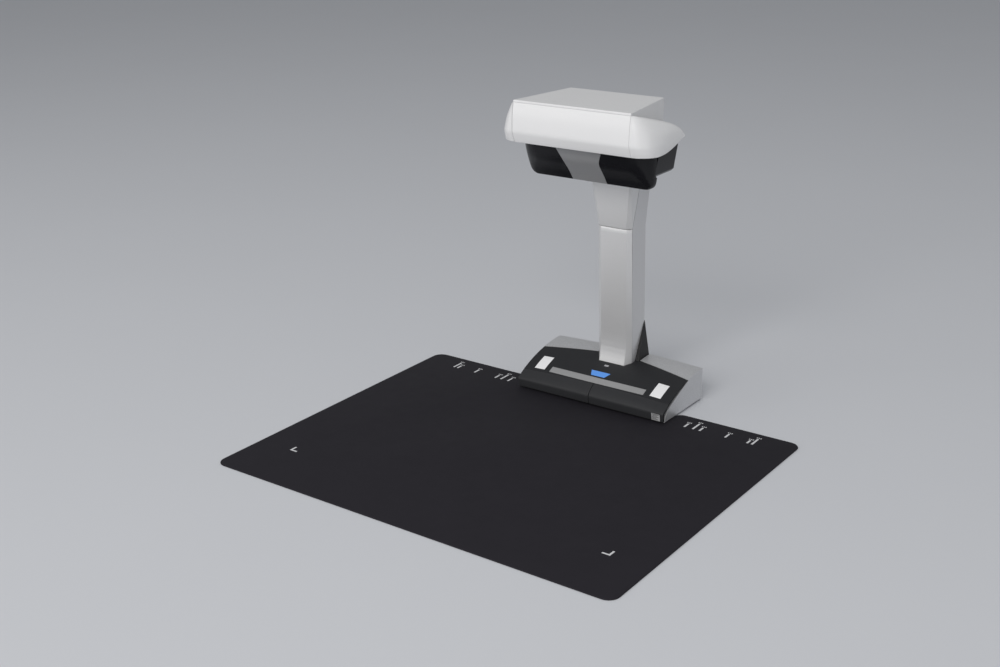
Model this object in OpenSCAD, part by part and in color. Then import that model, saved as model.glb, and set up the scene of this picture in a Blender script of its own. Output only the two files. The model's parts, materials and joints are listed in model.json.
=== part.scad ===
// Overhead arm document scanner standing over its background mat.
// Millimetres, +Z up, front of the scanner towards -Y, +X to the right seen from the front.
// The origin is the bottom centre of the whole footprint; z = 0 is the table.

/* [Mat] */
// Width of the background mat
mat_w = 528; // [500:1:560]
// Depth of the background mat
mat_d = 414; // [400:1:430]
// Thickness of the mat
mat_t = 1.5; // [1:0.1:1.8]
// Radius of the outer corners of the mat
mat_r = 13; // [5:1:20]
// Half width of the notch that goes around the base
notch_half = 103; // [101:0.5:104]
// Depth of that notch
notch_d = 26; // [24:1:30]

/* [Base] */
// Width of the base and of the head
base_w = 210; // [209:0.5:211]
// Height of the flat shoulders at the back of the base
shoulder_z = 40.6; // [40.2:0.1:41]
// Height of the bottom plate above the table
ground = 2.5; // [2.3:0.1:2.7]
// How far the back of the base lies behind the mat's rear edge
rear_y = 57; // [56.5:0.5:58]
// How much the sloping front rises from its ends to its middle
crown = 3.2; // [3.2:0.1:4]
// Radius of the sloping front in side view
slope_r = 190; // [188:1:192]
// Wall thickness of the casings
wall = 2.4; // [2.2:0.1:2.6]

/* [Keys] */
// How far a front key is pressed down
key_travel = 0.8; // [0.5:0.1:0.9]
// Gap around each key
key_gap = 0.3; // [0.2:0.05:0.4]
// Thickness of each key's wall
key_wall = 2.4; // [2:0.1:2.6]

/* [Arm] */
// Half width of the arm
arm_half = 24; // [23.5:0.1:24.2]
// Half width of the arm's front face between its chamfers
arm_face_half = 18; // [17:0.5:19]
// Front face of the arm
arm_y = 14.2; // [14:0.1:14.6]
// Height of the seam between arm and neck
seam_z = 216; // [210:1:220]
// Half width of the neck where it meets the head
neck_half = 33; // [32:0.5:33.5]

/* [Head] */
// Height of the flat top
top_z = 380; // [379:0.5:381]
// Half width of the flat top at its front edge
top_half = 78.5; // [78:0.5:79]
// Half width of the flat top at its rear edge
top_rear_half = 63.5; // [63:0.5:64]
// Front edge of the flat top
top_front_y = -81.5; // [-82:0.5:-81]
// Rear edge of the flat top
top_rear_y = 17; // [16.5:0.5:17.5]

/* [Scan unit] */
// Height of the axis that the scan unit turns on
drum_z = 306.5; // [306:0.5:307]
// Place of that axis from front to back
drum_y = -14; // [-14.5:0.5:-14]
// Radius of the scan unit
drum_r = 15; // [14.5:0.1:15]

/* [Hidden] */
$fn = 48;
// The smallest thickness drawn.
e = 0.01;

charcoal = "#34363a";
silver = "#a9aaac";
white = "#dcdddf";
gloss_black = "#1c1d20";
steel = "#8f9398";
board_green = "#2c5a3c";

// The scanner is drawn with y = 0 on the mat's rear edge, then moved so that the
// footprint of scanner and mat is centred on the origin.
datum_y = (mat_d + rear_y) / 2 - rear_y;
base_half = base_w / 2;

module place() translate([0, datum_y, 0]) children();

// An outline drawn in (y, z), extruded along x from x0 to x1.
module along_x(x0, x1) translate([x0, 0, 0]) rotate([90, 0, 90]) linear_extrude(x1 - x0) children();

// An outline drawn in (x, z), extruded along y from y0 to y1.
module along_y(y0, y1) translate([0, y1, 0]) rotate([90, 0, 0]) linear_extrude(y1 - y0) children();

// A block given by its two corners.
module block(low, high) translate(low) cube(high - low);

// A cylinder along x.
module rod_x(x0, x1, r, y, z) translate([x0, y, z]) rotate([0, 90, 0]) cylinder(h = x1 - x0, r = r);

module both_sides() {
    children();
    mirror([1, 0, 0]) children();
}

// ---------------------------------------------------------------- mat

mouth_r = 12;

module rounded_sheet(w, d, r) {
    translate([-w / 2, -d + r]) square([w, d - 2 * r]);
    translate([-w / 2 + r, -d]) square([w - 2 * r, d]);
    for (x = [-w / 2 + r, w / 2 - r], y = [-d + r, -r]) translate([x, y]) circle(r);
}

module mat() color("#26262a") place() linear_extrude(mat_t) difference() {
    rounded_sheet(mat_w, mat_d, mat_r);
    translate([-notch_half, -notch_d]) square([2 * notch_half, notch_d + 1]);
    both_sides() difference() {
        translate([notch_half - 1, -mouth_r]) square([mouth_r + 1, mouth_r + 1]);
        translate([notch_half + mouth_r, -mouth_r]) circle(mouth_r);
    }
}

// ---------------------------------------------------------------- base

// Side view of the sloping front: one large arc that is level slope_crest_y behind the datum.
slope_crest_y = 55.5;
slope_crest_z = shoulder_z + 1.2;
crown_r = (pow(base_half, 2) + pow(crown, 2)) / (2 * crown);
panel_top = shoulder_z - 0.6;
key_back_y = -26.6;
key_crease = [-40.5, 15];
// Front outline of the keys in (y, z), from the bottom to the top edge.
key_front = [[-38.8, 3.8], key_crease, [-35.5, 20.8], [key_back_y, 27.5]];

// Everything below the sloping, crowned front, lowered by drop.
module under_slope(drop = 0)
    translate([0, slope_crest_y, slope_crest_z + crown - crown_r])
        rotate([-90, 0, 0])
            rotate([0, 0, -110]) rotate_extrude(angle = 40, $fn = 720)
                translate([crown_r - slope_r, 0]) circle(r = slope_r - drop, $fn = 360);

// Outline of a silver side in (y, z).
side_outline = [
    [-36, 3], [-33.6, 8.5], [-28, 16.6], [-11.5, 24.4], [7.8, 32.6], [20, shoulder_z - 1.4],
    [21.5, shoulder_z], [rear_y, shoulder_z], [rear_y, ground]
];
shoulder_inner_x = 30.5;
shoulder_front = [20.5, 33.5];

module shoulder_plan() polygon([
    [base_half, shoulder_front[0]], [shoulder_inner_x, shoulder_front[1]],
    [shoulder_inner_x, rear_y], [base_half, rear_y]
]);

socket_z = [11, 22];
usb_x = [-52, -39.8];
power_x = [-78, -66];
lock_slot = [60, 15, 7.4, 3.4];

module base_cover() {
    along_x(base_half - wall, base_half) polygon(side_outline);
    translate([0, 0, shoulder_z - wall]) linear_extrude(wall) shoulder_plan();
    block([shoulder_inner_x, rear_y - wall, ground], [base_half, rear_y, shoulder_z]);
}

module base_cover_left() color(silver) place() difference() {
    mirror([1, 0, 0]) base_cover();
    block([usb_x[0], rear_y - 5, socket_z[0]], [usb_x[1], rear_y + 1, socket_z[1]]);
    block([power_x[0], rear_y - 5, socket_z[0]], [power_x[1], rear_y + 1, socket_z[1]]);
}

module base_cover_right() color(silver) place() difference() {
    base_cover();
    translate([lock_slot[0], rear_y - 5, lock_slot[1]]) cube([lock_slot[2], 6, lock_slot[3]]);
}

foot_r = 7;
foot_places = [for (x = [-88, 88], y = [-14, 44]) [x, y, 0]];

module rubber_feet() color("#202022") place()
    for (at = foot_places) translate(at) cylinder(h = ground, r = foot_r);

plate_t = 2;
plate_top = ground + plate_t;
plate_low = [-base_half + wall + 0.2, -34.5];
plate_high = [base_half - wall - 0.2, rear_y - wall - 0.2];

module bottom_plate() color(steel) place() difference() {
    block([plate_low[0], plate_low[1], ground], [plate_high[0], plate_high[1], plate_top]);
    for (at = spacer_places) translate([at[0], at[1], 0]) cylinder(h = 10, r = 1.5);
}

strip_half = 68;
strip_w = 8.6;
strip_front_y = key_back_y + 0.6;
// Radius of the strip's bowed front edge.
strip_r = 1440;
tile_x = [76.2, 91.2];
tile_y = [-22.6, 0];
// The light and its symbol sit a little left of the middle.
status_x = -2;
light_y = [-15, -6.7];
light_front_half = 9.6;
light_rear_half = 13.6;
icon_y = [4.5, 7.5];
icon_half = 3;
inlay_depth = 1;
inlay_proud = 0.15;

module strip_plan() intersection() {
    translate([-strip_half, -40]) square([2 * strip_half, 40]);
    translate([0, strip_front_y + strip_r]) difference() {
        circle(strip_r, $fn = 2880);
        circle(strip_r - strip_w, $fn = 2880);
    }
}
module tile_plan() translate([tile_x[0], tile_y[0]]) square([tile_x[1] - tile_x[0], tile_y[1] - tile_y[0]]);
module light_plan() translate([status_x, 0]) polygon([
    [-light_front_half, light_y[0]], [light_front_half, light_y[0]],
    [light_rear_half, light_y[1]], [-light_rear_half, light_y[1]]
]);
module icon_plan() translate([status_x - icon_half, icon_y[0]])
    square([2 * icon_half, icon_y[1] - icon_y[0]]);

// A thin inlay of the given plan that lies in the sloping front.
module inlay() intersection() {
    translate([0, 0, 10]) linear_extrude(35) children();
    difference() {
        under_slope(-inlay_proud);
        under_slope(inlay_depth);
    }
}
module inlay_plans() {
    strip_plan();
    both_sides() tile_plan();
    light_plan();
    icon_plan();
}

arm_slot_gap = 0.3;
// Solid ends of the front panel.
panel_end = 5;

// The opening that the arm stands in.
module arm_slot() let (half = arm_half + arm_slot_gap, face = arm_face_half + arm_slot_gap)
    linear_extrude(60) polygon([
        [-half, 60], [-half, foot_seam_y], [-face, arm_y - arm_slot_gap],
        [face, arm_y - arm_slot_gap], [half, foot_seam_y], [half, 60]
    ]);

// Outline of a silver side, grown towards the front by grow and upwards by lift.
module grown_side(grow, lift) polygon([
    for (p = side_outline) p[1] > ground ? [p[0] - grow, p[1] + lift] : [p[0], -1],
    [side_outline[0][0] - grow, -1]
]);

module panel_plan() polygon([
    [-base_half, key_back_y + key_gap], [base_half, key_back_y + key_gap],
    [base_half, shoulder_front[0] - 0.3], [shoulder_inner_x - 0.3, shoulder_front[1] - 0.3],
    [-shoulder_inner_x + 0.3, shoulder_front[1] - 0.3], [-base_half, shoulder_front[0] - 0.3]
]);

module front_panel() color(charcoal) place() difference() {
    union() {
        intersection() {
            under_slope();
            linear_extrude(panel_top) difference() {
                panel_plan();
                inlay_plans();
            }
        }
        intersection() {
            under_slope(inlay_depth + 0.05);
            linear_extrude(panel_top) panel_plan();
        }
    }
    intersection() {
        under_slope(wall);
        block([-base_half + panel_end, -60, -1], [base_half - panel_end, 60, panel_top - wall]);
    }
    // The ends stand on the silver sides.
    both_sides() along_x(base_half - panel_end, base_half + 1) grown_side(0.2, 0.2);
    block([-base_half - 1, -60, -1], [base_half + 1, 60, 6]);
    arm_slot();
}

module accent_strip() color("#85878a") place() inlay() strip_plan();
module reference_tiles() color("#f0f0f0") place() both_sides() inlay() tile_plan();
module status_light() color("#5a9bf5") place() inlay() light_plan();
module power_indicator() color("#c8c8cc") place() inlay() icon_plan();

// ---------------------------------------------------------------- keys

switch_x = 53;
switch_y = -24;
board_z = [6, 7.6];
switch_top = board_z[1] + 3.8;
pusher_gap = key_travel + 0.3;

module key() {
    intersection() {
        along_x(key_gap, base_half - 0.2) polygon(concat(key_front, [
            [key_back_y, 21], [key_front[2][0] + key_wall, 16.2],
            [key_crease[0] + key_wall, 13.4], [key_front[0][0] + key_wall, key_front[0][1]]
        ]));
        under_slope();
    }
    // The arm that reaches back over the switch, and its pusher.
    block([switch_x - 4, key_front[0][0] + key_wall - 1.4, 15], [switch_x + 4, switch_y + 3, 17]);
    translate([switch_x, switch_y, switch_top + pusher_gap])
        cylinder(h = 15 - switch_top - pusher_gap + e, r = 2.2);
}

module front_key() color(charcoal) difference() {
    key();
    along_x(base_half - wall - 0.3, base_half + 1) grown_side(0.3, key_travel + 0.5);
}
module scan_key() place() front_key();
module stop_key() place() mirror([1, 0, 0]) front_key();

// ---------------------------------------------------------------- base electronics

board_low = [-72, -28.5];
board_high = [72, 12];
spacer_places = [for (x = [-66, 66], y = [-18, 7]) [x, y]];

module control_board() color(board_green) place() difference() {
    block([board_low[0], board_low[1], board_z[0]], [board_high[0], board_high[1], board_z[1]]);
    for (at = spacer_places) translate([at[0], at[1], 0]) cylinder(h = 20, r = 1.5);
}
module board_spacers() color("#b0a060") place() for (at = spacer_places)
    translate([at[0], at[1], plate_top]) difference() {
        cylinder(h = board_z[0] - plate_top, r = 3);
        translate([0, 0, -1]) cylinder(h = 5, r = 1.5);
    }
module board_screws() color(steel) place() for (at = spacer_places) translate([at[0], at[1], 0]) {
    translate([0, 0, ground + 0.2]) cylinder(h = board_z[1] - ground - 0.2, r = 1.45);
    translate([0, 0, board_z[1]]) cylinder(h = 1.6, r = 2.8);
}
module tact_switches() color("#2a2a2c") place() both_sides() {
    block([switch_x - 3, switch_y - 3, board_z[1]], [switch_x + 3, switch_y + 3, switch_top - 0.8]);
    translate([switch_x, switch_y, switch_top - 0.8 - e]) cylinder(h = 0.8 + e, r = 1.7);
}

// A square socket shell, open at the back of the base.
module socket_body(x_range, open_w, open_h) {
    x0 = x_range[0] + 0.2;
    x1 = x_range[1] - 0.2;
    z0 = socket_z[0] + 0.2;
    z1 = socket_z[1] - 0.2;
    mid = (x0 + x1) / 2;
    difference() {
        block([x0, rear_y - 15, z0], [x1, rear_y - 0.4, z1]);
        translate([mid - open_w / 2, rear_y - 12, (z0 + z1 - open_h) / 2]) cube([open_w, 14, open_h]);
    }
}
module usb_socket() color("#c4c6c8") place() {
    socket_body(usb_x, 8.4, 7.8);
    block([usb_x[0] + 2, rear_y - 14.8, plate_top], [usb_x[1] - 2, rear_y - 4, socket_z[0] + 0.2 + e]);
}
module power_socket() color("#222224") place() {
    mid = (power_x[0] + power_x[1]) / 2;
    difference() {
        block([power_x[0] + 0.2, rear_y - 15, socket_z[0] + 0.2],
            [power_x[1] - 0.2, rear_y - 0.4, socket_z[1] - 0.2]);
        translate([mid, rear_y + 1, 16.5]) rotate([90, 0, 0]) cylinder(h = 13, r = 3.4);
    }
    block([power_x[0] + 2, rear_y - 14.8, plate_top], [power_x[1] - 2, rear_y - 4, socket_z[0] + 0.2 + e]);
}

// ---------------------------------------------------------------- column and arm

column_x = 17;
column_y = [22, 44];
column_wall = 2;
chassis_z = [340, 342];
cable_half = 6;

module column() color(steel) place() difference() {
    block([-column_x, column_y[0], plate_top], [column_x, column_y[1], chassis_z[0]]);
    block([-column_x + column_wall, column_y[0] + column_wall, 0],
          [column_x - column_wall, column_y[1] - column_wall, chassis_z[0] + 1]);
    block([-cable_half - 1.5, column_y[0] - 1, plate_top + 4], [cable_half + 1.5, column_y[0] + 5, 14]);
}

flange_places = [for (x = [-22.5, 22.5], y = [20, 48]) [x, y]];

module column_flange() color(steel) place() difference() {
    block([-27, 16.5, plate_top], [27, 52, plate_top + 3]);
    block([-column_x, column_y[0], 0], [column_x, column_y[1], 20]);
    for (at = flange_places) translate([at[0], at[1], 0]) cylinder(h = 20, r = 1.6);
}
module flange_screws() color("#55585c") place()
    for (at = flange_places) translate([at[0], at[1], plate_top]) {
    cylinder(h = 3, r = 1.55);
    translate([0, 0, 3]) cylinder(h = 2, r = 3);
}

shell_bottom = 30;
arm_seam_y = 19.4;
rear_foot_y = 54;
rear_seam_y = 50.2;
seam_gap = 0.3;

// The arm's front leans back towards its foot, then flares forward below flare_z.
flare_z = 62;
foot_face_y = 18.2;
foot_seam_y = 24;

// Horizontal outline of a front cover at height z: front face, chamfers, seam.
module cover_section(face_half, half, front, seam, z) translate([0, 0, z]) linear_extrude(e) polygon([
    [-half, seam], [-face_half, front], [face_half, front], [half, seam]
]);

module arm_section(front, seam, z, inset)
    cover_section(arm_face_half - inset * 0.4, arm_half - inset, front + inset,
        seam + (inset > 0 ? 0.1 : 0), z);

// The arm's front cover, drawn solid; inset moves its skin inwards.
module arm_front_form(inset = 0) {
    over = inset > 0 ? 0.1 : 0;
    hull() {
        arm_section(arm_y, arm_seam_y, seam_z - seam_gap + over, inset);
        arm_section(foot_face_y, foot_seam_y, flare_z, inset);
    }
    hull() {
        arm_section(foot_face_y, foot_seam_y, flare_z, inset);
        arm_section(arm_y, foot_seam_y, shell_bottom - over, inset);
    }
}
module arm_front_cover() color("#b2b2b3") place() difference() {
    arm_front_form();
    arm_front_form(wall);
}

// Diagonal lower edge of the silver shell in (y, z), above the black foot cover.
shell_cut = [[29.5, 40], [53.2, 92.4]];
neck_top = 299.6;
neck_rear_y = 50;
neck_seam_y = 28.6;

module neck_slab(half, y0, y1, z) translate([-half, y0, z]) cube([2 * half, y1 - y0, e]);

module arm_shell() color(silver) place() difference() {
    union() {
        along_x(-arm_half, arm_half) polygon([
            [foot_seam_y + 0.2, shell_bottom], [foot_seam_y + 0.2, flare_z], [arm_seam_y + 0.2, seam_z],
            [rear_seam_y, seam_z], [rear_foot_y, shell_bottom]
        ]);
        hull() {
            neck_slab(arm_half, arm_seam_y + 0.2, rear_seam_y, seam_z);
            neck_slab(neck_half, neck_seam_y + 0.2, neck_rear_y, neck_top);
        }
    }
    along_x(-arm_half + wall, arm_half - wall) polygon([
        [arm_seam_y - 1, shell_bottom - 1], [arm_seam_y - 1, seam_z + 1],
        [rear_seam_y - wall, seam_z + 1], [rear_foot_y - wall, shell_bottom - 1]
    ]);
    hull() {
        neck_slab(arm_half - wall, arm_seam_y - 1, rear_seam_y - wall, seam_z - 0.1);
        neck_slab(neck_half - wall, neck_seam_y - 1, neck_rear_y - wall, neck_top + 0.1);
    }
    along_x(-60, 60) polygon([
        [shell_cut[0][0] - 0.2, shell_bottom - 1], [shell_cut[0][0] - 0.2, shell_cut[0][1]], shell_cut[1],
        [70, shell_cut[1][1]], [70, shell_bottom - 1]
    ]);
}

neck_face_half = 29;
neck_front_y = 4.4;
neck_cover_top = 297.5;

module neck_cover() color("#b2b2b3") place() difference() {
    hull() {
        cover_section(arm_face_half, arm_half, arm_y, arm_seam_y, seam_z);
        cover_section(neck_face_half, neck_half - 0.3, neck_front_y, neck_seam_y - 0.2, neck_cover_top);
    }
    hull() {
        cover_section(arm_face_half - 1, arm_half - wall, arm_y + wall, arm_seam_y + 0.1, seam_z - 0.1);
        cover_section(neck_face_half - 1, neck_half - wall - 0.3, neck_front_y + wall, neck_seam_y + 0.1,
                     neck_cover_top + 0.1);
    }
}

foot_half = 30;
foot_apex_half = 24;

// The black foot cover, drawn solid; inset moves its walls inwards.
module foot_form(inset = 0) hull() {
    block([-foot_half + inset, shell_cut[0][0] + 0.2 + inset, plate_top + 0.2 - inset],
          [foot_half - inset, rear_y - inset, shoulder_z - 1]);
    block([-foot_apex_half + inset, shell_cut[1][0] - 1.6 - inset, shell_cut[1][1] - 3.2 - inset],
          [foot_apex_half - inset, shell_cut[1][0] + 0.3 - inset, shell_cut[1][1] - 2.4 - inset]);
}
module foot_cover() color("#242528") place() difference() {
    foot_form();
    foot_form(wall);
    // Open towards the sloping front and the arm, which stands inside the lower part.
    block([-foot_half - 1, 0, 0], [foot_half + 1, shoulder_front[1] + 0.3, shoulder_z - 0.3]);
    along_x(-arm_half + wall, arm_half - wall)
        polygon([[20, 34], [20, 60], [48, 100], [52, 86], [34, 34]]);
    intersection() {
        along_x(-arm_half - 0.1, arm_half + 0.1)
            polygon([[20, shell_bottom - 0.3], [20, 60], [46, 100], shell_cut[1] + [0.15, -0.15],
                     shell_cut[0] + [0.15, -0.15], [shell_cut[0][0] + 0.15, shell_bottom - 0.3]]);
        block([-60, 0, 0], [60, 60, 200]);
    }
}

// The flat cable leaves the control board, rises inside the column and drops onto the head board.
cable_t = 0.8;
cable_y = 33;
cable_start = 4;
cable_end = -24;
cable_low_z = board_z[1] + 2.4;
cable_high_z = 350;

module signal_cable() color("#c9c9cc") place() along_x(-cable_half, cable_half) {
    translate([cable_start, board_z[1]]) square([cable_t, cable_low_z - board_z[1] + cable_t]);
    translate([cable_start, cable_low_z]) square([cable_y - cable_start, cable_t]);
    translate([cable_y - cable_t, cable_low_z]) square([cable_t, cable_high_z - cable_low_z + cable_t]);
    translate([cable_end, cable_high_z]) square([cable_y - cable_end, cable_t]);
    translate([cable_end, head_board_top]) square([cable_t, cable_high_z - head_board_top + cable_t]);
}

// ---------------------------------------------------------------- head structure

cheek_x = [57, 59];
cheek_y = [-26, 2];
cheek_bottom = 299.5;
bush_r = 4.5;
pin_r = 3;
pin_clear = 0.05;
gear_x = [46.2, 52];
// Gear module in millimetres, and the teeth of a full drum gear and of the motor pinion.
gear_m = 0.8;
drum_teeth = 48;
pinion_teeth = 12;
gear_gap = gear_m * (drum_teeth + pinion_teeth) / 2;
pinion_angle = 90;
pinion_y = drum_y + gear_gap * cos(pinion_angle);
pinion_z = drum_z + gear_gap * sin(pinion_angle);
shaft_r = 1.5;
board_boss_places = [for (x = [-46, 46], y = [-54, -20]) [x, y]];
head_board_top = chassis_z[1] + 4.6;
chassis_screw_places = [for (x = [-12, 12], y = [14, 18]) [x, y]];

module head_chassis() color(steel) place() difference() {
    union() {
        block([-60, -64, chassis_z[0]], [60, 5, chassis_z[1]]);
        block([-28, 5 - e, chassis_z[0]], [28, 45, chassis_z[1]]);
        both_sides()
            block([cheek_x[0], cheek_y[0], cheek_bottom], [cheek_x[1], cheek_y[1], chassis_z[0] + e]);
        for (at = board_boss_places) translate([at[0], at[1], chassis_z[1] - e]) cylinder(h = 3, r = 3);
    }
    rod_x(-70, 70, bush_r + 0.02, drum_y, drum_z);
    rod_x(50, 70, 4, pinion_y, pinion_z);
    block([-cable_half - 1, cable_y - 4, 330], [cable_half + 1, cable_y + 3, 350]);
    for (at = board_boss_places) translate([at[0], at[1], 330]) cylinder(h = 20, r = 1.25);
    for (at = motor_screw_places) rod_x(50, 70, 1.25, at[0], at[1]);
}

module head_board() color(board_green) place() difference() {
    block([-52, -60, chassis_z[1] + 3], [52, -14, head_board_top]);
    for (at = board_boss_places) translate([at[0], at[1], 330]) cylinder(h = 20, r = 1.25);
}
module chassis_screws() color("#55585c") place()
    for (at = board_boss_places) translate([at[0], at[1], 0]) {
        translate([0, 0, chassis_z[1] - 2]) cylinder(h = head_board_top - chassis_z[1] + 2, r = 1.2);
        translate([0, 0, head_board_top]) cylinder(h = 1.6, r = 2.6);
    }

top_t = 2.6;

// Plan of the flat top, grown by extra on each side.
module top_plan(extra = 0) polygon([
    [-top_half - extra, top_front_y - extra], [top_half + extra, top_front_y - extra],
    [top_rear_half + extra, top_rear_y + extra], [-top_rear_half - extra, top_rear_y + extra]
]);

// Lower edge of the top cover's side walls in (y, z): it follows the wings' roofs.
skirt_front_z = top_z - 6;
skirt_rear_z = 347;

module top_cover() color(white) place() difference() {
    intersection() {
        translate([0, 0, skirt_rear_z - 5]) linear_extrude(top_z - skirt_rear_z + 5) top_plan();
        along_x(-100, 100) polygon([
            [top_front_y - 1, skirt_front_z + 3.4], [top_front_y + wall + 1, skirt_front_z + 3.4],
            [top_front_y + wall + 1, skirt_front_z], [top_rear_y + 1, skirt_rear_z],
            [top_rear_y + 1, top_z], [top_front_y - 1, top_z]
        ]);
    }
    translate([0, 0, 300]) linear_extrude(top_z - top_t - 300) offset_plan(wall);
    // The flat cable passes under the rear wall.
    block([-cable_half - 2, top_rear_y - 5, skirt_rear_z - 6],
        [cable_half + 2, top_rear_y + 1, cable_high_z + 3]);
}
module offset_plan(inset) polygon([
    [-top_half + inset * 1.15, top_front_y + inset], [top_half - inset * 1.15, top_front_y + inset],
    [top_rear_half - inset, top_rear_y - inset], [-top_rear_half + inset, top_rear_y - inset]
]);

seam_x = 78.2;
front_bulge = [-85, 343];
front_low = [-79.5, 329];
return_y = -67;

module front_cover() color(white) place() along_x(-seam_x, seam_x) polygon([
    [top_front_y, skirt_front_z + 3.2], [-84.2, 358], front_bulge, [-84.6, 340], front_low,
    [return_y, front_low[1]],
    [return_y, front_low[1] + wall], [front_low[0] + 1.5, front_low[1] + wall], [-82.2, 341],
    front_bulge + [wall, 0], [-84.2 + wall, 358], [top_front_y + wall, skirt_front_z + 3.2]
]);

// Balls [x, y, z, r] whose common hull is the right wing.
wing_balls = [
    [80, -77.5, 373.4, 4], [86, -66, 370, 4], [91, -50, 364.5, 4], [94.5, -34, 360.4, 4],
    [97.5, -22, 356.5, 3.5], [100.8, -12, 351, 3], [102.8, -7.5, 344, 1.8], [66, 17, 350, 3],
    [94, -66, 348, 7], [98, -58, 347, 6], [80, -81, 343, 4], [80, -75.5, 333, 4],
    [94.5, -66, 335, 6], [98.5, -56, 335, 5.5], [66, 17, 340, 2.5], [60, -70, 333, 4], [60, -75, 372, 4]
];
wing_wall = 1.6;

module wing_form(inset = 0) hull() for (b = wing_balls)
    translate([b[0] - inset, b[1] + (b[1] < -20 ? inset : -inset), b[2] - inset / 4])
        sphere(r = b[3] - inset * 0.75, $fn = 24);

module wing() difference() {
    wing_form();
    wing_form(wing_wall);
    translate([0, 0, 300]) linear_extrude(100) top_plan(0.3);
    block([0, -100, 320], [seam_x + 0.4, -60, 400]);
    housing_envelope(0.4);
    block([50, -120, 320], [110, 40, front_low[1] - 0.2]);
}

module wing_right() color(white) place() wing();
module wing_left() color(white) place() mirror([1, 0, 0]) wing();

hood_wall = 2;

module hood_form(inset = 0) hull() {
    translate([-neck_half + inset, 9 - 2 * inset, 300 - inset])
        cube([2 * (neck_half - inset), 41 + inset, 1]);
    translate([-37 + inset, 9 - 2 * inset, 343]) cube([2 * (37 - inset), 40.5 + inset, 1]);
    translate([-60 + inset, top_rear_y - 4 * inset, 375 - inset])
        cube([2 * (60 - inset), 2.5 + 3 * inset, 1]);
}
module rear_hood() color(silver) place() difference() {
    hood_form();
    hood_form(hood_wall);
    block([-80, 0, 343], [80, top_rear_y + 0.3, 400]);
    block([-29, 0, chassis_z[0] - 3], [29, 15, 400]);
}

// ---------------------------------------------------------------- lower housing, visor and nose

// A level slab with two round front corners.
module nose_slab(half, front, back, r, z) translate([0, 0, z]) linear_extrude(e) {
    translate([-half, front + r]) square([2 * half, back - front - r]);
    translate([-half + r, front]) square([2 * (half - r), r + e]);
    both_sides() translate([half - r, front + r]) circle(r, $fn = 32);
}

// The front part of the black housing; inset moves its skin inwards.
// Sections [half width, front, corner radius, height], from the top down.
front_part = [
    [87.5, -66, 30, 327.6], [86, -60, 24, 311.6], [83.6, -44, 8.5, 292],
    [81, -40.5, 5.5, 287], [76, -39, 4.2, 284.6]
];
front_back_y = -30;

module front_form(inset = 0) hull() for (s = front_part)
    nose_slab(s[0] - inset, s[1] + 1.25 * inset, front_back_y - inset,
              s[2] - inset, s[3] + (s[3] < 290 ? inset : (s[3] > 320 && inset > 2 ? 1 : 0)));

rear_bottom = 299;
rear_front_y = -36;
rear_back_y = 7;
housing_top = 338;

// Half widths of the rear part at its bottom, above its bottom chamfer and at its top.
rear_half = [81, 84, 91];
rear_chamfer = 3;

module rear_slab(half, depth, z) translate([-half, rear_front_y, z]) cube([2 * half, depth, e]);

module rear_form(inset = 0) {
    depth = rear_back_y - rear_front_y - inset;
    hull() {
        rear_slab(rear_half[0] - inset, depth, rear_bottom + inset);
        rear_slab(rear_half[1] - inset, depth, rear_bottom + rear_chamfer + inset);
        rear_slab(rear_half[2] - inset, depth - 2, housing_top + (inset > 0 ? 1 : 0));
    }
}

visor_t = 1.4;
skin = 2.2;

// The space that the wings leave free for the housing.
module housing_envelope(extra) {
    rear_form(-extra);
    block([-88.9, rear_front_y - 2, 320], [88.9, rear_front_y + 1, 329]);
}

module lower_housing() color(gloss_black) place() difference() {
    union() {
        front_form(visor_t);
        rear_form();
    }
    front_form(visor_t + skin);
    rear_form(skin);
    // The way down for the light and the image, and the way up into the head.
    block([-61, -34, 280], [61, rear_back_y - skin - 2, 320]);
    block([-80, -58, 327], [80, -40, 345]);
}

// Right edge of the nose in (x, z).
nose_edge = [[30.8, 329], [30.6, 326], [24.3, 311.6], [23.2, 283]];
visor_gap = 0.3;

module front_skin() difference() {
    front_form();
    front_form(visor_t);
    block([-100, rear_front_y - 0.2, rear_bottom - 0.2], [100, 0, 340]);
    block([-100, front_back_y - visor_t - 0.1, 280], [100, 0, 340]);
}
module visor() color(gloss_black) intersection() {
    front_skin();
    along_y(-80, 0) polygon(concat([for (p = nose_edge) [p[0] + visor_gap, p[1]]], [[100, 283], [100, 329]]));
}
module visor_right() place() visor();
module visor_left() place() mirror([1, 0, 0]) visor();
module nose_trim() color("#737579") place() intersection() {
    front_skin();
    along_y(-80, 0) polygon([for (p = nose_edge) p, for (i = [3:-1:0]) [-nose_edge[i][0], nose_edge[i][1]]]);
}

// ---------------------------------------------------------------- scan unit and drive

module drum_bushes() color("#b08d4a") place() both_sides() difference() {
    union() {
        rod_x(cheek_x[0] - 0.8, cheek_x[1], bush_r, drum_y, drum_z);
        rod_x(cheek_x[0] - 0.8, cheek_x[0], bush_r + 1.2, drum_y, drum_z);
    }
    rod_x(40, 80, pin_r + pin_clear, drum_y, drum_z);
}

motor_screw_places = [for (side = [-1, 1]) [pinion_y + side * 6.6, pinion_z]];
motor_x = [cheek_x[1], 74];
motor_r = 9;

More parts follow.
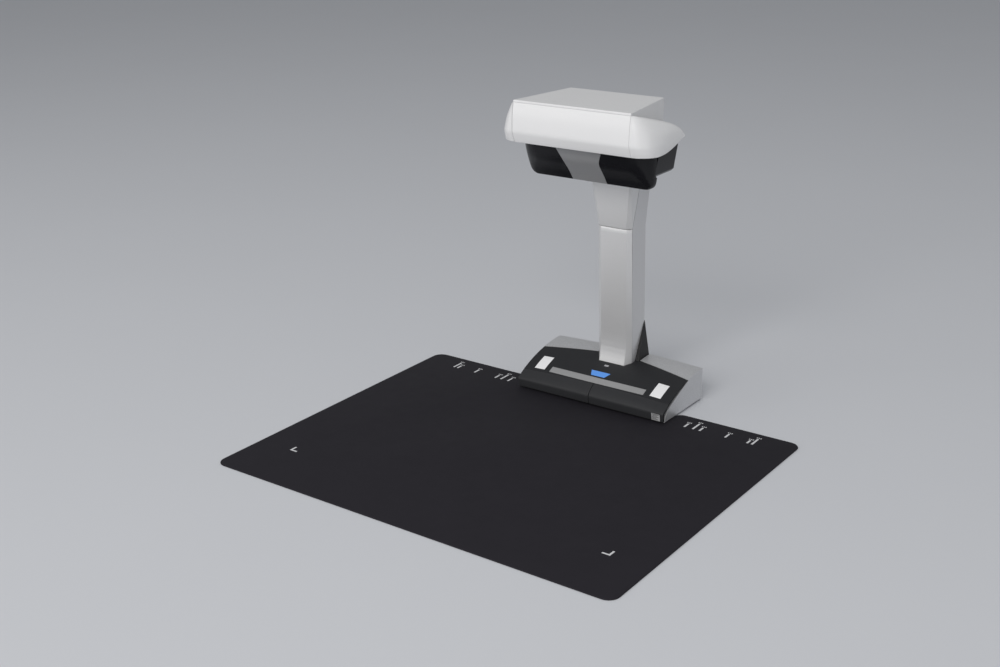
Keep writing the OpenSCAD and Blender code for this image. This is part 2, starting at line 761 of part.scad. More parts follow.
module stepper_motor() color("#5c5f63") place() difference() {
    union() {
        rod_x(motor_x[0], motor_x[1], motor_r, pinion_y, pinion_z);
        rod_x(cheek_x[0] + 0.2, motor_x[0] + e, 3.9, pinion_y, pinion_z);
    }
    rod_x(50, motor_x[1] - 1.5, shaft_r + pin_clear, pinion_y, pinion_z);
    for (at = motor_screw_places) rod_x(50, motor_x[0] + 4, 1.25, at[0], at[1]);
}
module motor_screws() color("#55585c") place() for (at = motor_screw_places) {
    rod_x(cheek_x[0], motor_x[0] + 3.8, 1.2, at[0], at[1]);
    rod_x(cheek_x[0] - 1.4, cheek_x[0], 2.2, at[0], at[1]);
}
module home_sensor() color("#1e1e20") place() difference() {
    block([-cheek_x[0], -18, 323], [-cheek_x[0] + 9, -8, 335]);
    block([-cheek_x[0] + 3, -19, 322], [-cheek_x[0] + 6, -7, 330]);
}

drum_x = [-50, 46];
drum_flat = 11;
lens_r = 9;
lamp_x = [13, 43];
lamp_half_y = 6.5;

module scan_drum() color("#2a2b2e") place() translate([0, drum_y, drum_z]) difference() {
    intersection() {
        rod_x(drum_x[0], drum_x[1], drum_r, 0, 0);
        block([-60, -20, -20], [60, 20, drum_flat]);
    }
    translate([0, 0, -20]) cylinder(h = 40, r = lens_r);
    block([-34, -8, 8], [34, 8, 20]);
    for (s = [-1, 1]) block([s * 28 - 15, -lamp_half_y, -20], [s * 28 + 15, lamp_half_y, -8.5]);
    for (s = [-1, 1]) translate([s > 0 ? 34 : -40, 0, 0])
        rod_x(s > 0 ? 0 : -12, s > 0 ? 14 : 0, pin_r, 0, 0);
}
module pivot_pins() color("#9a9ea3") place() {
    rod_x(-cheek_x[1] - 1, -40, pin_r, drum_y, drum_z);
    rod_x(34, cheek_x[1] + 1, pin_r, drum_y, drum_z);
}
module lens_barrel() color("#18181a") place() translate([0, drum_y, drum_z]) difference() {
    translate([0, 0, -16]) cylinder(h = 24, r = lens_r - 0.05);
    translate([0, 0, -17]) cylinder(h = 3.4, r = 7);
    translate([0, 0, -17]) cylinder(h = 30, r = 4.5);
}
module lens_glass() color("#3a5068") place() translate([0, drum_y, drum_z - 15.6])
    rotate_extrude() intersection() {
        translate([0, 30]) circle(r = 30, $fn = 180);
        square([7, 2]);
    }
module sensor_board() color(board_green) place() translate([0, drum_y, drum_z])
    block([-33, -7.8, 8], [33, 7.8, 9.6]);
module lamp_boards() color("#e8e8e0") place() translate([0, drum_y, drum_z])
    for (s = [-1, 1]) block([s * 28 - 15, -lamp_half_y, -10], [s * 28 + 15, lamp_half_y, -8.5]);
module lamp_covers() color("#eef2f4") place()
    translate([0, drum_y, drum_z]) for (s = [-1, 1]) intersection() {
    block([s * 28 - 15, -lamp_half_y, -20], [s * 28 + 15, lamp_half_y, -10]);
    rod_x(-60, 60, drum_r, 0, 0);
}

// Involute gear outline. The flank starts on the base circle.
pressure = 20;
backlash = 0.12;
function involute(rb, t) = [rb * (cos(t) + t * PI / 180 * sin(t)), rb * (sin(t) - t * PI / 180 * cos(t))];
function roll_at(rb, r) = r <= rb ? 0 : sqrt(pow(r / rb, 2) - 1) * 180 / PI;
function turned(p, a) = [p[0] * cos(a) - p[1] * sin(a), p[0] * sin(a) + p[1] * cos(a)];
function flank(rb, r0, r1, steps) =
    [for (i = [0:steps]) let (r = r0 + (r1 - r0) * i / steps) involute(rb, roll_at(rb, r))];
// One tooth, pointing along angle a, from root to tip and back.
function tooth(n, a) =
    let (
        rp = gear_m * n / 2,
        rb = rp * cos(pressure),
        tip = rp + 0.9 * gear_m,
        root = rp - 1.15 * gear_m,
        half = 90 / n - backlash / gear_m / n * 57.3 + (tan(pressure) * 180 / PI - pressure),
        up = flank(rb, max(rb, root), tip, 4),
        low = turned([root, 0], -half)
    )
    [for (p = concat([low], [for (q = up) turned(q, -half)])) turned(p, a),
     for (i = [len(up) - 1:-1:0]) turned(turned([up[i][0], -up[i][1]], half), a),
     turned(turned([root, 0], half), a)];

sector_teeth = 10;
// A tooth of the sector points at the pinion when the scan unit looks straight down.
sector_start = pinion_angle - 2 * 360 / drum_teeth;

// Gear angles are measured from +y towards +z, as seen from +x.
module drum_gear() color("#d8d8d2") place() translate([gear_x[0], drum_y, drum_z]) rotate([90, 0, 90])
    linear_extrude(gear_x[1] - gear_x[0]) difference() {
        union() {
            polygon(concat(
                [[0, 0]],
                [for (i = [0:sector_teeth - 1]) each tooth(drum_teeth, sector_start + i * 360 / drum_teeth)]
            ));
            circle(8);
        }
        circle(pin_r);
    }
pinion_phase = pinion_angle + 180;

module pinion() color("#c8a860") place() translate([gear_x[0] + 0.3, pinion_y, pinion_z]) rotate([90, 0, 90])
    linear_extrude(gear_x[1] - gear_x[0] - 0.6) difference() {
        polygon([for (i = [0:pinion_teeth - 1])
            each tooth(pinion_teeth, pinion_phase + 360 / pinion_teeth * (i + 0.5))]);
        circle(shaft_r);
    }
module motor_shaft() color("#9a9ea3") place()
    rod_x(gear_x[0] - 0.5, motor_x[1] - 2, shaft_r, pinion_y, pinion_z);

// ---------------------------------------------------------------- nodes

mat();
rubber_feet();
bottom_plate();
base_cover_left();
base_cover_right();
front_panel();
accent_strip();
reference_tiles();
status_light();
power_indicator();
scan_key();
stop_key();
control_board();
board_spacers();
board_screws();
tact_switches();
usb_socket();
power_socket();
column();
column_flange();
flange_screws();
foot_cover();
arm_front_cover();
arm_shell();
neck_cover();
signal_cable();
head_chassis();
head_board();
chassis_screws();
top_cover();
front_cover();
wing_left();
wing_right();
rear_hood();
lower_housing();
visor_left();
visor_right();
nose_trim();
drum_bushes();
stepper_motor();
motor_screws();
home_sensor();
scan_drum();
pivot_pins();
drum_gear();
lens_barrel();
lens_glass();
sensor_board();
lamp_boards();
lamp_covers();
motor_shaft();
pinion();
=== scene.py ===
"""Looks of the overhead arm document scanner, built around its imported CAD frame."""

import json
import math

import bmesh
import bpy
from mathutils import Matrix, Vector


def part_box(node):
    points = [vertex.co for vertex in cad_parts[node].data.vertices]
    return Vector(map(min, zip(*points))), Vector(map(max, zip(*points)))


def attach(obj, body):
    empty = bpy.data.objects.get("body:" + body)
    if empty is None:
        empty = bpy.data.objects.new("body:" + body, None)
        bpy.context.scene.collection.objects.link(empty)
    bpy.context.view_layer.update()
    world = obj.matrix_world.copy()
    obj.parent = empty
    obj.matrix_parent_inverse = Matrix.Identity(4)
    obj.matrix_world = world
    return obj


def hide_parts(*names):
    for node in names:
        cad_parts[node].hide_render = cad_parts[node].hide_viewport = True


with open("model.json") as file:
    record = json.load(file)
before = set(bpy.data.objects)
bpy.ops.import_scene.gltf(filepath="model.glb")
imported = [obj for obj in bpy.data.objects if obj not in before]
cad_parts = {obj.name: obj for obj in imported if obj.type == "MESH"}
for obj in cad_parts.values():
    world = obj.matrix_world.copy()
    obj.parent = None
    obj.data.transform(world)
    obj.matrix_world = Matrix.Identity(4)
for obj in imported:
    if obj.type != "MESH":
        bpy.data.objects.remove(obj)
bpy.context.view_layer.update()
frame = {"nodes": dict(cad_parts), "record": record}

# ---------------------------------------------------------------- places in the frame
# Shapes are given in millimetres from the datum: the middle of the mat's rear edge, on the table.

MM = 0.001
STAND, MAT, SCAN_KEY, STOP_KEY = "stand", "background_mat", "scan_key_body", "stop_key_body"
# Edges that turn more than this many degrees are the ones that get rounded over.
SHARP_ANGLE = 28
# Points of a built mesh, or of a CAD mesh, that are closer than this are one point, in millimetres.
WELD, CAD_WELD = 0.005, 0.002
DATUM_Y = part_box("mat")[1][1]


def at(x, y, z):
    """A point given in millimetres from the datum, in the frame's metres."""
    return Vector((x * MM, DATUM_Y + y * MM, z * MM))


def low(node, axis):
    """A CAD node's lowest coordinate along an axis, in millimetres from the datum."""
    return (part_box(node)[0][axis] - (DATUM_Y if axis == 1 else 0)) / MM


def high(node, axis):
    """A CAD node's highest coordinate along an axis, in millimetres from the datum."""
    return (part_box(node)[1][axis] - (DATUM_Y if axis == 1 else 0)) / MM


MAT_HALF = high("mat", 0)
MAT_DEPTH = -low("mat", 1)
MAT_TOP = high("mat", 2)
BASE_HALF = high("base_cover_right", 0)
SHOULDER_Z = high("base_cover_right", 2)
PANEL_FRONT = low("front_panel", 1)
KEY_HALF = high("scan_key", 0)
ARM_HALF = high("arm_front_cover", 0)
ARM_FRONT = low("arm_front_cover", 1)
ARM_SEAM_Z = high("arm_front_cover", 2)
TOP_Z = high("top_cover", 2)
TOP_FRONT = low("top_cover", 1)

# ---------------------------------------------------------------- curves and meshes


def mix(a, b, t):
    """The value a share t of the way from a to b."""
    return a + (b - a) * t


def spline(points, count):
    """count points on a smooth curve through the given points (Catmull-Rom)."""
    pts = [Vector(p) for p in points]
    pts = [2 * pts[0] - pts[1]] + pts + [2 * pts[-1] - pts[-2]]
    spans = len(pts) - 3
    out = []
    for k in range(count):
        u = k * spans / (count - 1)
        i = min(int(u), spans - 1)
        t = u - i
        a, b, c, d = pts[i:i + 4]
        out.append(0.5 * (2 * b + (c - a) * t + (2 * a - 5 * b + 4 * c - d) * t ** 2
                          + (3 * b - 3 * c + d - a) * t ** 3))
    return out


def rounded(corners, radii, steps=5, closed=True):
    """A polyline with its corners rounded by short curves that start radii from each corner."""
    n = len(corners)
    out = []
    for i, corner in enumerate(corners):
        here = Vector(corner)
        if not closed and i in (0, n - 1):
            out.append(here)
            continue
        back = Vector(corners[i - 1]) - here
        ahead = Vector(corners[(i + 1) % n]) - here
        start = here + back.normalized() * min(radii[i], 0.45 * back.length)
        end = here + ahead.normalized() * min(radii[i], 0.45 * ahead.length)
        for k in range(steps + 1):
            t = k / steps
            out.append((1 - t) ** 2 * start + 2 * t * (1 - t) * here + t ** 2 * end)
    return out


def loft(sections):
    """Vertices and faces of a closed form through sections, which are loops of equal length."""
    n = len(sections[0])
    verts = [p for s in sections for p in s]
    faces = []
    for i in range(len(sections) - 1):
        for j in range(n):
            k = (j + 1) % n
            faces.append((i * n + j, i * n + k, (i + 1) * n + k, (i + 1) * n + j))
    faces.append(tuple(reversed(range(n))))
    faces.append(tuple(range((len(sections) - 1) * n, len(sections) * n)))
    return verts, faces


def thick_patch(rows, thickness):
    """Vertices and faces of a curved plate: rows of outer points, and the same points moved inwards."""
    count = len(rows[0])
    outer = [p for row in rows for p in row]
    inner = []
    for i, row in enumerate(rows):
        for j, p in enumerate(row):
            across = row[min(j + 1, count - 1)] - row[max(j - 1, 0)]
            along = rows[min(i + 1, len(rows) - 1)][j] - rows[max(i - 1, 0)][j]
            inner.append(p - across.cross(along).normalized() * thickness)
    shift = len(outer)
    faces = []
    for i in range(len(rows) - 1):
        for j in range(count - 1):
            a, b = i * count + j, i * count + j + 1
            c, d = b + count, a + count
            faces.append((a, b, c, d))
            faces.append((a + shift, d + shift, c + shift, b + shift))
    rim = list(range(count)) + [i * count + count - 1 for i in range(1, len(rows))]
    rim += [len(outer) - 1 - j for j in range(1, count)] + [i * count for i in range(len(rows) - 2, 0, -1)]
    for a, b in zip(rim, rim[1:] + rim[:1]):
        faces.append((b, a, a + shift, b + shift))
    return outer + inner, faces


def mirrored(points):
    """The same points on the other side of the middle."""
    return [Vector((-p.x, p.y, p.z)) for p in points]


def new_piece(name, verts, faces, body, slot, material, replaces=(), sharp=32):
    """A mesh piece from points in millimetres from the datum."""
    mesh = bpy.data.meshes.new(name)
    mesh.from_pydata([at(*v) for v in verts], [], faces)
    bm = bmesh.new()
    bm.from_mesh(mesh)
    bmesh.ops.remove_doubles(bm, verts=bm.verts, dist=WELD * MM)
    bmesh.ops.recalc_face_normals(bm, faces=bm.faces)
    bm.to_mesh(mesh)
    bm.free()
    return finished(name, mesh, body, material, replaces, sharp)


def finished(name, mesh, body, material, replaces, sharp):
    """A mesh made into a piece: shaded, given its material, tied to its body, and with the CAD nodes it
    stands for hidden.
    """
    mesh.shade_smooth()
    mesh.set_sharp_from_angle(angle=math.radians(sharp))
    mesh.materials.clear()
    mesh.materials.append(material)
    obj = bpy.data.objects.new(name, mesh)
    bpy.context.scene.collection.objects.link(obj)
    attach(obj, body)
    if replaces:
        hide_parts(*replaces)
    return obj


def bevelled(obj, width, segments=3, angle=SHARP_ANGLE):
    """Rounds a piece's sharp edges over, as a moulded part's are."""
    bevel = obj.modifiers.new("edges", "BEVEL")
    bevel.width = width * MM
    bevel.segments = segments
    bevel.limit_method = "ANGLE"
    bevel.angle_limit = math.radians(angle)
    bevel.harden_normals = True
    bevel.use_clamp_overlap = True
    return obj


def softened(node, name, body, material, width, segments=3, reshape=None, choose=None):
    """A piece that stands for a CAD node: its own shape, with the edges rounded over.

    reshape may move the mesh's vertices first; choose gives each edge's radius from its two ends.
    """
    mesh = frame["nodes"][node].data.copy()
    mesh.name = name
    bm = bmesh.new()
    bm.from_mesh(mesh)
    bmesh.ops.remove_doubles(bm, verts=bm.verts, dist=CAD_WELD * MM)
    bmesh.ops.dissolve_limit(bm, angle_limit=math.radians(0.2), verts=bm.verts, edges=bm.edges)
    bmesh.ops.recalc_face_normals(bm, faces=bm.faces)
    for layer in list(bm.loops.layers.uv):
        bm.loops.layers.uv.remove(layer)
    if reshape:
        reshape(bm)
    if choose:
        weight = bm.edges.layers.float.new("bevel_weight_edge")
        for edge in bm.edges:
            if len(edge.link_faces) == 2 and edge.calc_face_angle() > math.radians(SHARP_ANGLE):
                ends = [Vector((v.co.x / MM, (v.co.y - DATUM_Y) / MM, v.co.z / MM)) for v in edge.verts]
                edge[weight] = choose(*ends) / width
    bm.to_mesh(mesh)
    bm.free()
    if mesh.attributes.get("custom_normal"):
        mesh.attributes.remove(mesh.attributes["custom_normal"])
    obj = bevelled(finished(name, mesh, body, material, [node], SHARP_ANGLE), width, segments)
    if choose:
        obj.modifiers["edges"].limit_method = "WEIGHT"
    return obj


# ---------------------------------------------------------------- materials


class Look:
    """A node material: a principled shader whose colour, roughness and bump vary over the surface."""

    def __init__(self, name, color, roughness, metallic=0.0):
        self.material = bpy.data.materials.new(name)
        self.material.use_nodes = True
        self.nodes = self.material.node_tree.nodes
        self.links = self.material.node_tree.links
        self.shader = self.nodes["Principled BSDF"]
        self.color = (*color, 1.0)
        self.shader.inputs["Base Color"].default_value = self.color
        self.shader.inputs["Roughness"].default_value = roughness
        self.shader.inputs["Metallic"].default_value = metallic
        self.roughness = roughness
        self.place = self.nodes.new("ShaderNodeTexCoord").outputs["Object"]
        self.material.diffuse_color = self.color

    def set(self, **values):
        """Sets shader sockets by name, with underscores for spaces."""
        for name, value in values.items():
            self.shader.inputs[name.replace("_", " ")].default_value = value
        return self

    def noise(self, scale, detail):
        """A noise factor, scale given in cells per metre."""
        noise = self.nodes.new("ShaderNodeTexNoise")
        noise.inputs["Scale"].default_value = scale
        noise.inputs["Detail"].default_value = detail
        self.links.new(self.place, noise.inputs["Vector"])
        return noise.outputs["Fac"]

    def cells(self, scale):
        """A factor that differs from cell to cell, scale given in cells per metre."""
        voronoi = self.nodes.new("ShaderNodeTexVoronoi")
        voronoi.inputs["Scale"].default_value = scale
        self.links.new(self.place, voronoi.inputs["Vector"])
        return voronoi.outputs["Distance"]

    def between(self, factor, low_value, high_value):
        """The factor's 0 to 1 spread over the given range."""
        ramp = self.nodes.new("ShaderNodeMapRange")
        ramp.inputs["To Min"].default_value = low_value
        ramp.inputs["To Max"].default_value = high_value
        self.links.new(factor, ramp.inputs["Value"])
        return ramp.outputs["Result"]

    def tinted(self, factor, spread):
        """Base colour varied by the factor, from darker to lighter by the given share."""
        blend = self.nodes.new("ShaderNodeMix")
        blend.data_type = "RGBA"
        dark = [c * (1 - spread) for c in self.color[:3]]
        light = [min(1.0, c * (1 + spread)) for c in self.color[:3]]
        blend.inputs["A"].default_value = (*dark, 1.0)
        blend.inputs["B"].default_value = (*light, 1.0)
        self.links.new(factor, blend.inputs["Factor"])
        self.links.new(blend.outputs["Result"], self.shader.inputs["Base Color"])
        return self

    def worn(self, factor, spread):
        """Roughness varied by the factor around its value."""
        rough = self.between(factor, self.roughness - spread, self.roughness + spread)
        self.links.new(rough, self.shader.inputs["Roughness"])
        return self

    def bumped(self, factor, depth):
        """Relief of the given depth in millimetres."""
        bump = self.nodes.new("ShaderNodeBump")
        bump.inputs["Strength"].default_value = 1.0
        bump.inputs["Distance"].default_value = depth * MM
        self.links.new(factor, bump.inputs["Height"])
        earlier = self.shader.inputs["Normal"].links
        if earlier:
            self.links.new(earlier[0].from_socket, bump.inputs["Normal"])
        self.links.new(bump.outputs["Normal"], self.shader.inputs["Normal"])
        return self


LACQUER_GRAIN = 1500
LACQUER_DEPTH = 0.006


def moulded(name, color, roughness, grain, depth, tint=0.06, shine=0.5):
    """Moulded plastic or rubber: grain in cells per metre, its relief's depth in millimetres."""
    look = Look(name, color, roughness)
    look.set(Specular_IOR_Level=shine)
    look.tinted(look.noise(22.0, 4.0), tint)
    look.worn(look.noise(60.0, 5.0), 0.05)
    look.bumped(look.noise(grain, 2.0), depth)
    return look.material


def lacquered(name, color, roughness, metallic, flake, cells=2600):
    """Lacquer over a smooth moulding, or metal: flake is how far its cells differ in tone."""
    look = Look(name, color, roughness, metallic)
    look.tinted(look.cells(cells), flake)
    look.worn(look.noise(35.0, 5.0), 0.04)
    look.bumped(look.noise(LACQUER_GRAIN, 2.0), LACQUER_DEPTH)
    return look.material


def lit_lens():
    """The lit status light behind its clear front."""
    look = Look("light", (0.07, 0.22, 0.60), 0.25)
    look.tinted(look.noise(120.0, 2.0), 0.08)
    look.set(Emission_Color=(0.08, 0.24, 0.62, 1.0), Emission_Strength=0.45, Coat_Weight=0.5)
    return look.material


def coated_glass():
    """The scan lens."""
    look = Look("lens", (0.05, 0.08, 0.12), 0.05)
    look.worn(look.noise(80.0, 2.0), 0.02)
    look.set(Coat_Weight=1.0, Transmission_Weight=0.3)
    return look.material


LOOKS = {
    "mat": moulded("mat", (0.0168, 0.0152, 0.0205), 0.75, 1100, 0.03, tint=0.10, shine=0.25),
    "rubber": moulded("rubber", (0.02, 0.02, 0.02), 0.8, 900, 0.02),
    "steel": lacquered("steel", (0.5, 0.51, 0.53), 0.35, 0.9, flake=0.04),
    "silver": lacquered("silver", (0.65, 0.655, 0.67), 0.40, 0.55, flake=0.22, cells=1300),
    "arm_silver": lacquered("arm_silver", (0.775, 0.775, 0.78), 0.36, 0.5, flake=0.04),
    # arm_side is the arm's silver made a little darker: painted shade for the side and rear of the arm's
    # shell.
    "arm_side": lacquered("arm_side", (0.72, 0.72, 0.73), 0.36, 0.5, flake=0.04),
    "white": lacquered("white", (0.81, 0.81, 0.815), 0.32, 0.0, flake=0.02),
    "charcoal": moulded("charcoal", (0.020, 0.0207, 0.0232), 0.54, 2200, 0.012, shine=0.28),
    "key": moulded("key", (0.030, 0.0307, 0.0335), 0.5, 2200, 0.012, shine=0.3),
    "strip": lacquered("strip", (0.40, 0.40, 0.405), 0.42, 0.35, flake=0.10),
    "tile": moulded("tile", (0.95, 0.95, 0.96), 0.55, 2000, 0.006, tint=0.02),
    "indicator": moulded("indicator", (0.42, 0.42, 0.44), 0.3, 1500, 0.004, tint=0.03),
    "board": moulded("board", (0.03, 0.11, 0.05), 0.4, 700, 0.01),
    "brass": lacquered("brass", (0.6, 0.45, 0.2), 0.3, 1.0, flake=0.03),
    "screws": lacquered("screws", (0.6, 0.6, 0.6), 0.25, 1.0, flake=0.03),
    "dark_plastic": moulded("dark_plastic", (0.02, 0.02, 0.022), 0.5, 1500, 0.01),
    "foot_black": moulded("foot_black", (0.021, 0.0205, 0.022), 0.5, 2200, 0.012, shine=0.3),
    "cable": moulded("cable", (0.6, 0.6, 0.62), 0.4, 900, 0.01),
    "gloss_black": moulded("gloss_black", (0.0105, 0.0107, 0.0128), 0.24, 300, 0.001,
                           tint=0.03, shine=0.22),
    "nose": lacquered("nose", (0.335, 0.337, 0.345), 0.42, 0.3, flake=0.05),
    "gear": moulded("gear", (0.7, 0.7, 0.66), 0.45, 900, 0.01),
    "diffuser": moulded("diffuser", (0.85, 0.88, 0.9), 0.6, 900, 0.01, tint=0.02),
    "print": moulded("print", (0.74, 0.74, 0.76), 0.5, 1800, 0.004, tint=0.04),
    "label": moulded("label", (0.46, 0.46, 0.47), 0.6, 1500, 0.003, tint=0.12),
    "groove": moulded("groove", (0.006, 0.006, 0.007), 0.6, 1800, 0.004, tint=0.04),
    "light": lit_lens(),
    "lens": coated_glass(),
}


# Every CAD node gets the finish of its slot; the visible ones are then replaced by finer pieces.
for part in frame["record"]["subparts"]:
    node = frame["nodes"][part["node"]]
    node.data.materials.clear()
    node.data.materials.append(LOOKS[part["material_slot"]])

# ---------------------------------------------------------------- mat

MAT_CORNER = 13
NOTCH_HALF = 103
NOTCH_DEPTH = 26
MOUTH_R = 12
MAT_EDGE = 0.45
ARC_STEPS = 8


def arc(cx, cy, r, start, end):
    """Points on an arc around (cx, cy) from one angle to another, in degrees."""
    turn = [math.radians(mix(start, end, k / ARC_STEPS)) for k in range(ARC_STEPS + 1)]
    return [(cx + r * math.cos(a), cy + r * math.sin(a)) for a in turn]


def mat_outline(inset):
    """Right half of the mat's outline, from the notch to the front middle, moved inwards."""
    edge, corner = MAT_HALF - inset, MAT_CORNER - inset
    mouth = MOUTH_R + inset
    points = [(0, -NOTCH_DEPTH - inset), (NOTCH_HALF + inset, -NOTCH_DEPTH - inset)]
    points += arc(NOTCH_HALF + MOUTH_R, -MOUTH_R, mouth - 2 * inset, 180, 90)
    points += arc(edge - corner, -inset - corner, corner, 90, 0)
    points += arc(edge - corner, -MAT_DEPTH + inset + corner, corner, 0, -90)
    points.append((0, -MAT_DEPTH + inset))
    return points


def outline_loop(inset, z):
    """The mat's whole outline at a height."""
    right = mat_outline(inset)
    left = [(-x, y) for x, y in reversed(right[1:-1])]
    return [Vector((x, y, z)) for x, y in right + left]


def bar(x, y, width, length, height):
    """Corners and faces of a small flat bar printed on the mat, its front end at (x, y)."""
    left, right = x - width / 2, x + width / 2
    loop = [(left, y), (right, y), (right, y + length), (left, y + length)]
    return loft([[Vector((a, b, z)) for a, b in loop] for z in (MAT_TOP, MAT_TOP + height)])


def joined(parts):
    """Several (verts, faces) pairs as one."""
    verts, faces = [], []
    for v, f in parts:
        faces += [tuple(i + len(verts) for i in face) for face in f]
        verts += v
    return verts, faces


def make_mat():
    sections = [outline_loop(inset, z) for inset, z in (
        (MAT_EDGE, 0.0), (0.0, MAT_EDGE), (0.0, MAT_TOP - MAT_EDGE),
        (0.3 * MAT_EDGE, MAT_TOP - 0.3 * MAT_EDGE), (MAT_EDGE, MAT_TOP))]
    sheet = new_piece("background_mat_sheet", *loft(sections), MAT, "mat", LOOKS["mat"], ["mat"])


# Paper size marks: distance from the middle and length of each bar.
SIZE_MARKS = [(216, 17), (210, 9), (182, 11), (148.5, 10), (139.7, 18), (128.5, 11)]
MARK_FOOT_Y = -30.4
MARK_WIDTH = 2.4
# Three blank ticks stand behind each bar: their spacing, distance from the bar, width and length.
TICK_SPACING, TICK_GAP, TICK_WIDTH, TICK_LENGTH = 2.3, 1.5, 1.1, 2.6
INK = 0.02
# The two corner marks: outer corner, then the length and width of their strokes.
CORNER_MARK = (216.7, -341.9)
CORNER_STROKE = (10, 2.3)


def make_marks():
    bars = []
    for x, length in SIZE_MARKS:
        for side in (-1, 1):
            bars.append(bar(side * x, MARK_FOOT_Y, MARK_WIDTH, length, INK))
            for k in (-1, 0, 1):
                bars.append(bar(side * x + TICK_SPACING * k, MARK_FOOT_Y + length + TICK_GAP,
                                TICK_WIDTH, TICK_LENGTH, INK))
    reach, width = CORNER_STROKE
    for side in (-1, 1):
        x, y = side * (CORNER_MARK[0] - width / 2), CORNER_MARK[1]
        bars.append(bar(x, y, width, reach, INK))
        bars.append(bar(side * (CORNER_MARK[0] - reach / 2), y, reach, width, INK * 0.9))
    new_piece("mat_size_marks", *joined(bars), MAT, "tile", LOOKS["print"])


# ---------------------------------------------------------------- base

SLOPE_R = 190
CROWN = 3.2
CREST_Y = 55.5
CREST_Z = SHOULDER_Z + 1.2
KEY_GAP = 0.3
CROWN_R = (BASE_HALF ** 2 + CROWN ** 2) / (2 * CROWN)


def slope(x, y):
    """Height of the crowned front slope."""
    reach = CROWN_R - SLOPE_R + math.sqrt(SLOPE_R ** 2 - (y - CREST_Y) ** 2)
    return CREST_Z + CROWN - CROWN_R + math.sqrt(reach ** 2 - x ** 2)


def fillet(distance, radius):
    """How far a surface drops at that distance from its rounded edge."""
    left = radius - min(radius, max(0.0, distance))
    return radius - math.sqrt(radius ** 2 - left ** 2)


# Angles around a rounded edge at which a grid has its lines.
ROUND_ANGLES = (0, 20, 40, 60, 75, 90)


def edge_steps(start, end, radius, inner, both=(True, True)):
    """Lines across a stretch, close together at its rounded ends."""
    fine = [radius * (1 - math.cos(math.radians(a))) for a in ROUND_ANGLES]
    left = [start + f for f in fine] if both[0] else [start]
    right = [end - f for f in reversed(fine)] if both[1] else [end]
    middle = [mix(left[-1], right[0], k / inner) for k in range(1, inner)]
    return left + middle + right


PANEL_EDGE_R = 0.45
PANEL_SKIRT = 2.2
SHOULDER_SIDE_Y = 20.2
SHOULDER_ARM_Y = 33.2
SHOULDER_ARM_X = 30.2
ARM_FACE_HALF = 18
LEAN_SEAM = 24
SLOT_GAP = 0.3
SLOT_HALF = ARM_HALF + SLOT_GAP
SLOT_FACE_HALF = ARM_FACE_HALF + SLOT_GAP
SLOT_Y = ARM_FRONT - SLOT_GAP
TINY = 0.001


def panel_rear(x):
    """Rear edge of the slope, where the silver shoulders begin."""
    t = max(0.0, abs(x) - SHOULDER_ARM_X) / (BASE_HALF - SHOULDER_ARM_X)
    return mix(SHOULDER_ARM_Y, SHOULDER_SIDE_Y, t)


def slot_line(x):
    """Front edge of the arm's opening; beside it, where the slope's front rows of faces end."""
    if abs(x) <= SLOT_FACE_HALF:
        return SLOT_Y
    if abs(x) <= SLOT_HALF:
        return mix(SLOT_Y, LEAN_SEAM, (abs(x) - SLOT_FACE_HALF) / (SLOT_HALF - SLOT_FACE_HALF))
    return mix(LEAN_SEAM, SLOT_Y, (abs(x) - SLOT_HALF) / (BASE_HALF - SLOT_HALF))


def make_slope():
    """The crowned slope, open at the arm, as a grid with rounded edges and a skirt all round."""
    half = edge_steps(SLOT_HALF, BASE_HALF, PANEL_EDGE_R, 22)
    chamfer = [mix(SLOT_FACE_HALF, SLOT_HALF, k / 5) for k in range(5)]
    middle = [mix(-SLOT_FACE_HALF, SLOT_FACE_HALF, k / 12) for k in range(1, 12)]
    xs = [-x for x in reversed(half)] + [-x for x in reversed(chamfer)] + middle + chamfer + half
    front = edge_steps(0.0, 1.0, 0.011, 26)
    behind = edge_steps(0.0, 1.0, 0.04, 6, (False, True))[1:]
    verts, index = [], {}
    for i, x in enumerate(xs):
        rear, line = panel_rear(x), slot_line(x)
        in_slot = abs(x) < SLOT_HALF - TINY
        ys = [mix(PANEL_FRONT, line, t) for t in front] + [mix(line, rear, t) for t in behind]
        for j, y in enumerate(ys[:len(front)] if in_slot else ys):
            drop = fillet(y - PANEL_FRONT, PANEL_EDGE_R) + fillet(BASE_HALF - abs(x), PANEL_EDGE_R)
            drop += fillet(line - y if in_slot else rear - y, PANEL_EDGE_R)
            if y > line - TINY and not in_slot:
                drop += fillet(abs(x) - SLOT_HALF, PANEL_EDGE_R)
            index[i, j] = len(verts)
            verts.append(Vector((x, y, slope(x, y) - min(drop, PANEL_EDGE_R))))
    faces = []
    for i in range(len(xs) - 1):
        for j in range(len(front) + len(behind) - 1):
            corners = [(i, j), (i + 1, j), (i + 1, j + 1), (i, j + 1)]
            if all(c in index for c in corners):
                faces.append(tuple(index[c] for c in corners))
    obj = new_piece("front_slope", verts, faces, STAND, "charcoal", LOOKS["charcoal"], ["front_panel"])
    skin = obj.modifiers.new("wall", "SOLIDIFY")
    skin.thickness = PANEL_SKIRT * MM
    skin.offset = -1
    return obj


# An inlay stands this far above the slope, less at its rim, and reaches this far below it.
INLAY_PROUD = 0.18
INLAY_RIM = 0.12
INLAY_SINK = 0.8
INLAY_BORDER = 0.15


